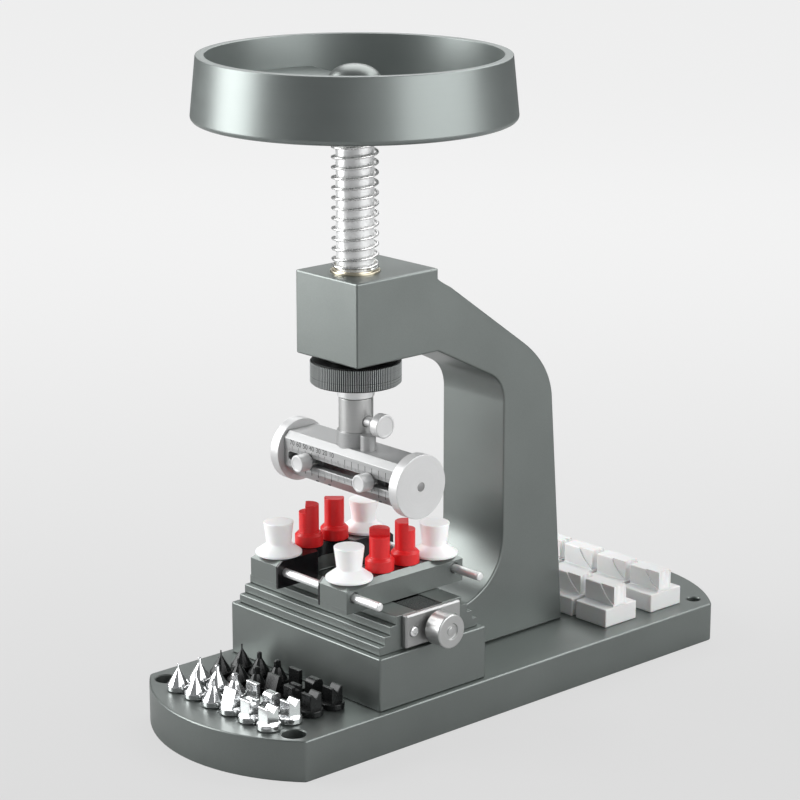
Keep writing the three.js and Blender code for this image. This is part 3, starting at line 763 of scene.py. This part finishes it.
def nose():
    _, _, z0, x1, _, z1 = span("nose_sleeve")
    bore, screw_z = 5.3, 150.8
    shape = turned_ring([(bore, z0), (x1, z0, 0.35), (x1, z1, 0.35), (bore, z1)])
    cuts = [moved(drill(3.0, 4, 12), z=screw_z, turn=LAID_X)]
    piece("nose_turned", shape, SATIN, "holder", "nose_sleeve", SPINDLE, cuts=cuts)
    x0, _, _, x1, _, _ = span("nose_lock_screw")
    shank, neck, head, head_start = 2.6, 2.2, 6, 16.6
    profile = [(0, x0), (shank, x0), (shank, 12.2), (neck, 12.8, 0.3), (neck, head_start, 0.3)]
    profile += [(head, head_start, 0.5), (head, x1, 0.5)]
    profile += [(4.9, x1, 0.1), (4.75, x1 - 0.2, 0.1), (0, x1 - 0.2)]
    shape, at = turned(profile, segments=64), (0, AXIS_Y, screw_z)
    body, node = "nose_screw", "nose_lock_screw"
    piece("nose_thumbscrew", shape, FACED, body, node, at, ALONG_X)


# Die holder --------------------------------------------------------------------------------------
def engraved_scale(face_y, z):
    """Numbers and graduations, filled with black, that stand 0.02 mm proud of the bar's face."""
    marks = []

    def tick(x, length, bottom, width=0.32):
        left, right, top = x - width / 2, x + width / 2, bottom + length
        marks.append(block(left, right, face_y - 0.02, face_y + 0.1, bottom, top, 0))

    for k in range(-75, 76):
        x = k / 2
        if k % 10 == 0:
            tick(x, 4.3 if x > 0 else 2.6, z + 2.6)
            if x < -4 or x > 26:
                tick(x, 4.3, z - 6.9)
            else:
                tick(x, 2.6, z - 5.2)
        elif k % 2 == 0:
            tick(x, 1.6, z + 2.6, 0.2)
            tick(x, 1.6, z - 4.2, 0.2)
    for x in (-18.2, -8.9, 28.9, 37.7):
        marks.append(block(x - 0.8, x + 0.8, face_y + 1.9, face_y + 2.4, z - 9.9, z - 9.4, 0))
    whole = merged(*marks)
    for i, number in enumerate(range(70, 0, -10)):
        text = bpy.data.curves.new("number", "FONT")
        text.body = str(number)
        text.size = 3.7 * MM
        text.align_x = "CENTER"
        text.extrude = 0.05 * MM
        holder = bpy.data.objects.new("number", text)
        bpy.context.scene.collection.objects.link(holder)
        bpy.context.view_layer.update()
        evaluated = holder.evaluated_get(bpy.context.evaluated_depsgraph_get())
        mesh = bpy.data.meshes.new_from_object(evaluated)
        stand = Matrix.Translation(Vector((-35 + 5 * i, face_y + 0.03, z + 5.9)) * MM)
        mesh.transform(stand @ Matrix.Rotation(math.pi / 2, 4, "X"))
        whole.from_mesh(mesh)
        bpy.data.objects.remove(holder)
        bpy.data.curves.remove(text)
    return whole


def die_holder():
    z = HOLDER_Z
    x0, _, _, x1, _, z1 = span("holder_beam")
    half, lower, upper = 12, 6.4, 3.2
    section = [(-half + lower, z - half), (half - lower, z - half), (half, z - half + lower)]
    section += [(half, z + half - upper), (half - upper, z + half), (-half + upper, z + half)]
    section += [(-half, z + half - upper), (-half, z - half + lower)]
    bar = swept_x(fillet(section, 0.5, 3), rounded_levels(x0, x1, 0.3, 2))
    boss = turned([(0, z + 9), (9.6, z + 9), (9.6, z1, 0.5), (0, z1)])
    post = turned([(0, z + 9), (3.9, z + 9), (3.9, 145.4, 0.4), (0, 145.4)], segments=64)
    made = as_object(bar, "bar")
    carve(made, boss, moved(post, 12.4, -3.1), operation="UNION")
    shape = taken(made)
    end = 38.3
    outline = rectangle(-end, end, z - 2.1, z + 2.1, 2.09, 8)
    slot = swept_y(outline, [(0.35, 0), (0, 0.1), (0, half - 0.3), (-0.6, half + 0.3)])
    cavity = block(-end, end, -8.2, 6.6, z - 4.6, z + 4.6, 0)
    mouth = block(-end, end, -3.2, 3.2, z - half - 1, z, 0)
    body, node, steel, cuts = "holder", "holder_beam", "satin_steel", [slot, cavity, mouth]
    piece("die_bar", shape, SATIN_BAR, body, node, SPINDLE, cuts=cuts, sharp=28)
    scale = engraved_scale(-half, z)
    piece("die_bar_scale", scale, INK, "holder", "holder_beam", SPINDLE)
    guide, at = rod(2.7, -38.2, 38.2, 0.2, 48), (0, AXIS_Y + GUIDE_Y, z)
    piece("die_bar_guide", guide, BLACK, "holder", "holder_beam", at, ALONG_X)
    at = (0, AXIS_Y, z)
    start, end = 41.5, 47.5
    for name, turn in (("left", ALONG_MINUS_X), ("right", ALONG_X)):
        radius = span(f"end_cap_{name}")[5] - z
        profile = [(0, start), (radius, start, 0.3), (radius, end - 0.15, 0.2)]
        profile += [(radius - 0.3, end, 0.1)]
        if name == "right":
            profile += [(2.3, end, 0.1), (2.3, end - 1.5), (0, end - 1.5)]
        else:
            profile += [(0, end)]
        shape, node = turned(profile, 4, 128), f"end_cap_{name}"
        piece(f"cap_{name}", shape, FACED, "holder", node, at, turn)
    dot = rod(2.2, 46.1, end, 0.15, 48)
    piece("cap_pin", dot, PIN, "holder", "cap_screw", at, ALONG_X)


def carriages():
    z = HOLDER_Z
    for name, side in (("left", -1), ("right", 1)):
        x = side * 23
        slider = block(x - 7, x + 7, -7.9, 6.3, z - 4.3, z + 4.3, 0.4)
        foot = block(x - 2.9, x + 2.9, -2.9, 2.9, z - 12, z, 0.4)
        made = as_object(slider, "body")
        carve(made, foot, operation="UNION")
        bore = moved(drill(2.8, x - 9, x + 9), 0, GUIDE_Y, z, LAID_X)
        thread = moved(drill(1.7, 3.6, 12), x, 0, z, LAID_FRONT)
        carve(made, bore, thread)
        shape, body, node = taken(made), f"carriage_{name}", f"die_carriage_{name}"
        piece(f"carriage_{name}_block", shape, PIN, body, node, SPINDLE)
        shank, head, seat, end = 1.6, 4.4, 12.4, 19.4
        profile = [(0, 4.2), (shank, 4.2), (shank, seat), (head, seat, 0.4), (head, end, 0.45)]
        profile += [(3.3, end, 0.1), (3.1, 19.2, 0.1), (0, 19.2)]
        shape, at = turned(profile, segments=64), (x, AXIS_Y, z)
        body, node = f"carriage_{name}_screw", f"carriage_screw_{name}"
        piece(f"thumbscrew_{name}", shape, FACED, body, node, at, ALONG_FRONT)


# Vise --------------------------------------------------------------------------------------------
def vise_base():
    x0, y0, z0, x1, y1, z1 = span("vise_pedestal")
    shape = stack(rectangle(x0, x1, y0, y1, 1.2, 4), rounded_levels(z0, z1, 0.7, 3))
    piece("pedestal_block", shape, PAINT, "root", "vise_pedestal")
    x0, _, z0, x1, _, z1 = span("vise_body")
    depths = [32.6, 29.2, 25.6, 21.8]
    riser = (z1 - z0) / len(depths)
    right, seams = [], []
    for step, depth in enumerate(depths):
        foot = z0 + step * riser
        right += [(depth, foot), (depth, foot + riser, 0.5)]
        for side in (-1, 1):
            near, far = sorted((side * (depth - 0.9), side * (depth + 1)))
            seams.append(block(x0 + 0.6, x1 - 0.6, near, far, foot, foot + 0.4, 0))
    floor, channel = z0 + 3.5, 8.5
    section = right + [(channel, z1, 0.4), (channel, floor), (-channel, floor)]
    section += [(-channel, z1, 0.4)]
    section += [(-p[0], *p[1:]) for p in reversed(right)]
    shape = swept_x(fillet(section, steps=3), rounded_levels(x0, x1, 0.3, 3))
    piece("vise_rails", shape, PAINT, "root", "vise_body", SPINDLE, cuts=seams)


def threaded(radius, z0, z1, pitch, segments=36, step=0.2, depth=0.55):
    """A threaded rod whose thread turns the other way past its middle, as the jaws' screw does."""
    plain_end, plain_middle, chamfer = 1, 2, 0.3

    def thread(angle, r, height):
        plain = height < z0 + plain_end or height > z1 - plain_end or abs(height) < plain_middle
        if plain or r < radius - 0.01:
            return r
        hand = 1 if height > 0 else -1
        phase = (hand * height / pitch - angle / (2 * math.pi)) % 1
        return r - depth * (1 - abs(2 * phase - 1))

    count = round((z1 - z0) / step)
    rises = [(z1 - z0 - 0.6) * k / count for k in range(count + 1)]
    profile = [(0, z0), (radius - chamfer, z0)]
    profile += [(radius, z0 + chamfer + rise) for rise in rises]
    profile += [(radius - chamfer, z1), (0, z1)]
    return lathe(profile, segments, radius_at=thread)


def end_plate():
    x0, y0, z0, x1, y1, z1 = span("vise_end_plate")
    outline = rectangle(y0 - AXIS_Y, y1 - AXIS_Y, z0, z1, 0.9, 3)
    plate = swept_x(outline, [(0.3, x0), (0, x0 + 0.3), (0, x1 - 0.9), (0.8, x1)])
    cuts = [moved(drill(3.5, 45, 70), z=SCREW_Z, turn=LAID_X)]
    for side in (-1, 1):
        cuts.append(moved(drill(2.9, 45, 70), 0, side * PLATE_SCREW_Y, SCREW_Z, LAID_X))
    body, node = "root", "vise_end_plate"
    name = "end_plate_satin"
    piece(name, plate, PLATE, body, node, SPINDLE, cuts=cuts, edges=0.12)
    for name, side in (("front", -1), ("rear", 1)):
        node = f"plate_screw_{name}"
        start, _, _, top, _, _ = span(node)
        profile = [(0, start), (2.6, start), (2.6, top - 0.5, 0.4), (1.9, top, 0.3), (0, top)]
        head = turned(profile, segments=48)
        arm, half, foot = 1.7, 0.42, top - 0.75
        cross = [block(-arm, arm, -half, half, foot, top + 1, 0)]
        cross.append(block(-half, half, -arm, arm, foot, top + 1, 0))
        at = (0, AXIS_Y + side * PLATE_SCREW_Y, SCREW_Z)
        steel, name = "polished_steel", f"cross_screw_{name}"
        piece(name, head, POLISHED, "root", node, at, ALONG_X, cuts=cross)


def vise_screw():
    at = (0, AXIS_Y, SCREW_Z)
    x0, _, _, x1, _, z1 = span("vise_leadscrew")
    shape = threaded(z1 - SCREW_Z, x0, x1, 2.0)
    body, node, steel = "vise_screw", "vise_leadscrew", "polished_steel"
    piece("vise_thread", shape, POLISHED, body, node, at, ALONG_X, sharp=70)
    x0, _, _, x1, _, z1 = span("vise_knob")
    radius, bore = z1 - SCREW_Z, 3.3
    profile = [(bore, x0), (6.2, x0, 0.3), (5.5, x0 + 1.1, 0.5), (radius - 1.2, x0 + 1.6, 0.4)]
    profile += [(radius, x0 + 2.6, 0.7), (radius, x1, 0.8), (4.2, x1, 0.2), (4.0, x1 - 0.9, 0.2)]
    profile += [(2.4, x1 - 0.9, 0.2), (2.0, x1 - 0.2, 0.4), (0, x1 - 0.2), (0, x1 - 3.5)]
    profile += [(bore, x1 - 3.5)]
    shape = turned_ring(profile, 4)
    piece("vise_knob_turned", shape, SATIN, "vise_screw", "vise_knob", at, ALONG_X)


def screw_block(node, edge):
    """A block of the node's size with the screw's bore along X."""
    x0, y0, z0, x1, y1, z1 = span(node)
    hole = moved(drill(3.5, 10, 60), z=SCREW_Z, turn=LAID_X)
    return block(x0, x1, y0 - AXIS_Y, y1 - AXIS_Y, z0, z1, edge), [hole]


def vise_blocks():
    shape, cuts = screw_block("screw_bearing", 0.5)
    node = "screw_bearing"
    piece("bearing_block", shape, BLACK, "root", node, SPINDLE, cuts=cuts)
    for name, turn in (("left", math.pi), ("right", 0)):
        shape, cuts = screw_block("jaw_nut_right", 0.4)
        body, node, at, turn = f"{name}_jaw", f"jaw_nut_{name}", SPINDLE, (0, 0, turn)
        piece(f"nut_{name}", shape, BLACK, body, node, at, turn, cuts=cuts)


def jaws():
    """Both jaws have the shape of the right one; the left one is turned half round the spindle."""
    _, _, z0, outer, y1, z1 = span("jaw_right")
    inner, half = span("jaw_insert_right")[0], y1 - AXIS_Y
    wedge, drop = 3.0, 2.5
    notch_radius = 13.2
    notch_x = inner - notch_radius + 9

    def raised(x_in):
        shoulder = z1 - drop
        points = [(x_in, -half, z0), (outer, -half, z0), (outer, half, z0), (x_in, half, z0)]
        points += [(x_in, -half, shoulder), (outer, -half, shoulder)]
        points += [(outer, half, shoulder), (x_in, half, shoulder)]
        points += [(x_in, -half + wedge, z1), (outer - wedge, -half + wedge, z1)]
        points += [(outer - wedge, half - wedge, z1), (x_in, half - wedge, z1)]
        return hull(points)

    def notch():
        return moved(drill(notch_radius, z0 - 1, z1 + 1, segments=128), notch_x)

    def rod_holes(end, mouth):
        start = inner - 2
        return [moved(drill(2.5, start, end, mouth), 0, y, ROD_Z, LAID_X) for y in (-ROD_Y, ROD_Y)]

    def seam(y_from, y_to):
        return block(inner - 1, outer + 1, y_from, y_to, z0 + 2.0, z0 + 2.22, 0)

    for name, turn in (("left", math.pi), ("right", 0)):
        body, turn = f"{name}_jaw", (0, 0, turn)
        pocket = block(inner - 1, outer - wedge - 0.1, -35.75, 35.75, z1 - 6.9, z1 + 1, 0)
        seams = [seam(-half - 1, -half + 0.25), seam(half - 0.25, half + 1)]
        cuts = [pocket, notch(), *rod_holes(outer, 0.6), *seams]
        shape, node, look, label = raised(inner + 1.35), f"jaw_{name}", PAINT, f"carrier_{name}"
        slot, at = "frame_paint", SPINDLE
        piece(label, shape, look, body, node, at, turn, edges=0.22, cuts=cuts)
        made = as_object(raised(inner), "facing")
        carve(made, block(inner + 1.2, outer + 1, -half - 1, half + 1, z0 - 1, z1 + 1, 0))
        pad = block(inner + 0.5, outer - wedge - 0.25, -35.6, 35.6, z1 - 6.8, z1, 0)
        carve(made, pad, operation="UNION")
        seats = []
        for y in (-CUP_Y, -PIN_Y, PIN_Y, CUP_Y):
            seats.append(moved(drill(2.7, z1 - 5.4, z1, 0.3, 32), SEAT_X, y))
        carve(made, notch(), *rod_holes(outer + 2, 0.0), *seats)
        shape, node, label = taken(made), f"jaw_insert_{name}", f"insert_{name}"
        slot = "black_plastic"
        piece(label, shape, NYLON_BLACK, body, node, at, turn, edges=0.3)
    for name, side in (("front", -1), ("rear", 1)):
        node = f"guide_rod_{name}"
        x0, _, z0, x1, _, z1 = span(node)
        shape = rod((z1 - z0) / 2, x0, x1, 0.7, 48)
        at = (0, AXIS_Y + side * ROD_Y, ROD_Z)
        piece(f"rod_{name}", shape, POLISHED, "left_jaw", node, at, ALONG_X)


# Holders in the jaws -----------------------------------------------------------------------------
def cup():
    peg, flange, waist, mouth, top = 2.4, 11.7, 6.2, 7.6, 16.6
    profile = [(0, -5), (peg, -5, 0.3), (peg, 0.1), (flange, 0.1, 0.25), (flange, 1.3, 0.35)]
    profile += [(waist, 5.4, 0.8), (mouth, top, 0.4), (0, top)]
    return turned(profile, 5)


def pin():
    peg, foot, neck, top = 2.4, 7.2, 5.1, 21.6
    profile = [(0, -5), (peg, -5, 0.3), (peg, 0.1), (foot, 0.1, 0.25), (foot, 5.6, 0.25)]
    profile += [(5.9, 7, 0.25), (neck, 7, 0.25), (neck, top, 0.4), (0, top)]
    return turned(profile, 4)


def cups_and_pins():
    turns = {"left_front": 228, "left_rear": 138, "right_front": 318, "right_rear": 48}
    top = span("jaw_insert_right")[5]
    for side_name, side in (("left", -1), ("right", 1)):
        for end_name, end in (("front", -1), ("rear", 1)):
            corner = f"{side_name}_{end_name}"
            node = f"white_cup_{corner}"
            body, slot = f"{node}_body", "white_nylon"
            at = (side * SEAT_X, AXIS_Y + end * CUP_Y, top)
            piece(f"cup_{corner}", cup(), NYLON_WHITE, body, node, at)
            node = f"red_pin_{corner}"
            body, slot = f"{node}_body", "red_plastic"
            at = (side * SEAT_X, AXIS_Y + end * PIN_Y, top)
            turn = (0, 0, math.radians(turns[corner]))
            cuts = [block(1.7, 8, -8, 8, 17.6, 23, 0)]
            name = f"pin_{corner}"
            piece(name, pin(), NYLON_RED, body, node, at, turn, cuts=cuts, edges=0.18)


# Loose parts on the base -------------------------------------------------------------------------
def case_blocks():
    for row in (1, 2):
        for column in (1, 2, 3, 4):
            node = f"case_block_{row}_{column}"
            x0, y0, z0, x1, y1, z1 = span(node)
            width, depth = (x1 - x0) / 2, (y1 - y0) / 2
            base, neck = z0 + 9.9, 4.85
            section = [(-depth, z0, 0.5), (depth, z0, 0.5), (depth, base, 0.7), (neck, base, 0.5)]
            section += [(neck, z1, 0.7), (-neck, z1, 0.7), (-neck, base, 0.5), (-depth, base, 0.7)]
            shape = swept_x(fillet(section, steps=4), rounded_levels(-width, width, 0.6, 3))
            scoop = moved(drill(20, base + 0.01, z1 + 1, segments=160), width + 18.2)
            recess = drill(24.5, neck - 0.7, neck + 1, segments=160)
            cuts = [scoop, moved(recess, 21.7, 0, (base + z1) / 2 + 16.7, LAID_FRONT)]
            at = ((x0 + x1) / 2, (y0 + y1) / 2, 0)
            name, body, slot = f"block_{row}_{column}", f"{node}_body", "white_nylon"
            # The blocks' nylon colour holds painted shade.
            piece(name, shape, NYLON_WHITE_SHADED, body, node, at, cuts=cuts, edges=0.25)


def bit_top(kind, base):
    """The working end of a bit above its collar, in its own frame."""
    low, top = base - 0.4, 11.6
    cones = {
        "needle": (0.35, 11.6, 14),
        "short": (0.7, 10.8, 13.6),
        "blunt": (1.2, 10.2, 13.6),
        "thick": (1.7, 9.6, 13.2),
    }
    if kind in cones:
        tip, start, end = cones[kind]
        profile = [(0, low), (5.3, low), (5.3, base), (tip * 1.1, start), (tip, end - tip * 0.4)]
        return lathe(profile + [(tip * 0.6, end), (0, end)], 10)
    if kind == "wedge":
        foot = [(x, y, z) for x in (-4.1, 4.1) for y in (-3.3, 3.3) for z in (low, base + 1)]
        return hull(foot + [(x, y, 12.9) for x in (-4.1, 4.1) for y in (-0.6, 0.6)])
    if kind == "blade":
        return block(-4.1, 4.1, -1.1, 1.1, low, 12.6, 0.3)
    if kind == "round":
        section = [(-3.2, low), (3.2, low), (3.2, top, 2.4), (-3.2, top, 2.4)]
        return swept_x(fillet(section, steps=6), rounded_levels(-3.4, 3.4, 0.5, 3))
    if kind == "notch":
        section = [(-3.2, low), (3.2, low), (3.2, top, 0.4), (1.2, top, 0.3), (1.2, 9.6, 0.2)]
        section += [(-1.2, 9.6, 0.2), (-1.2, top, 0.3), (-3.2, top, 0.4)]
        return swept_x(fillet(section, steps=2), rounded_levels(-3.4, 3.4, 0.3, 2))
    section = [(-3.5, low), (3.5, low), (3.5, top, 0.3), (2.2, top, 0.3), (0, 8.8, 0.4)]
    section += [(-2.2, top, 0.3), (-3.5, top, 0.3)]
    return swept_x(fillet(section, steps=2), rounded_levels(-3.5, 3.5, 0.3, 2))


def press_bits():
    kinds = [
        ["needle", "short", "blunt", "wedge", "notch", "vee"],
        ["short", "blunt", "thick", "blade", "round", "vee"],
        ["needle", "short", "thick", "wedge", "notch", "vee"],
        ["needle", "blunt", "thick", "blade", "round", "vee"],
    ]
    peg, peg_end, collar, base = 1.95, -5.9, 5.85, 3.4
    profile = [(0, peg_end), (peg, peg_end), (peg, 0.35), (collar, 0.35, 0.6)]
    profile += [(collar, base, 0.6), (0, base)]
    for row in range(4):
        for column in range(6):
            at = (1.6 + (column - 2.5) * 13.9, -147 + row * 13.5, BASE_TOP)
            node = f"press_bit_{column + 1}" if row == 0 else f"press_bit_row_{row + 1}"
            body = f"{node}_body" if row == 0 else "root"
            material, slot = (CHROME, "chrome") if row < 2 else (BLACK, "black_oxide")
            shape = merged(turned(profile, 4, 48), bit_top(kinds[row][column], base))
            name = f"bit_{row + 1}_{column + 1}"
            piece(name, shape, material, body, node, at, sharp=20)


add_camera()
add_studio()
add_floor()
base_plate()
c_frame()
guide_bush()
knurled_ring()
return_spring()
ram()
handwheel()
nose()
die_holder()
carriages()
vise_base()
end_plate()
vise_screw()
vise_blocks()
jaws()
cups_and_pins()
case_blocks()
press_bits()
bpy.context.scene.view_settings.view_transform = "Standard"
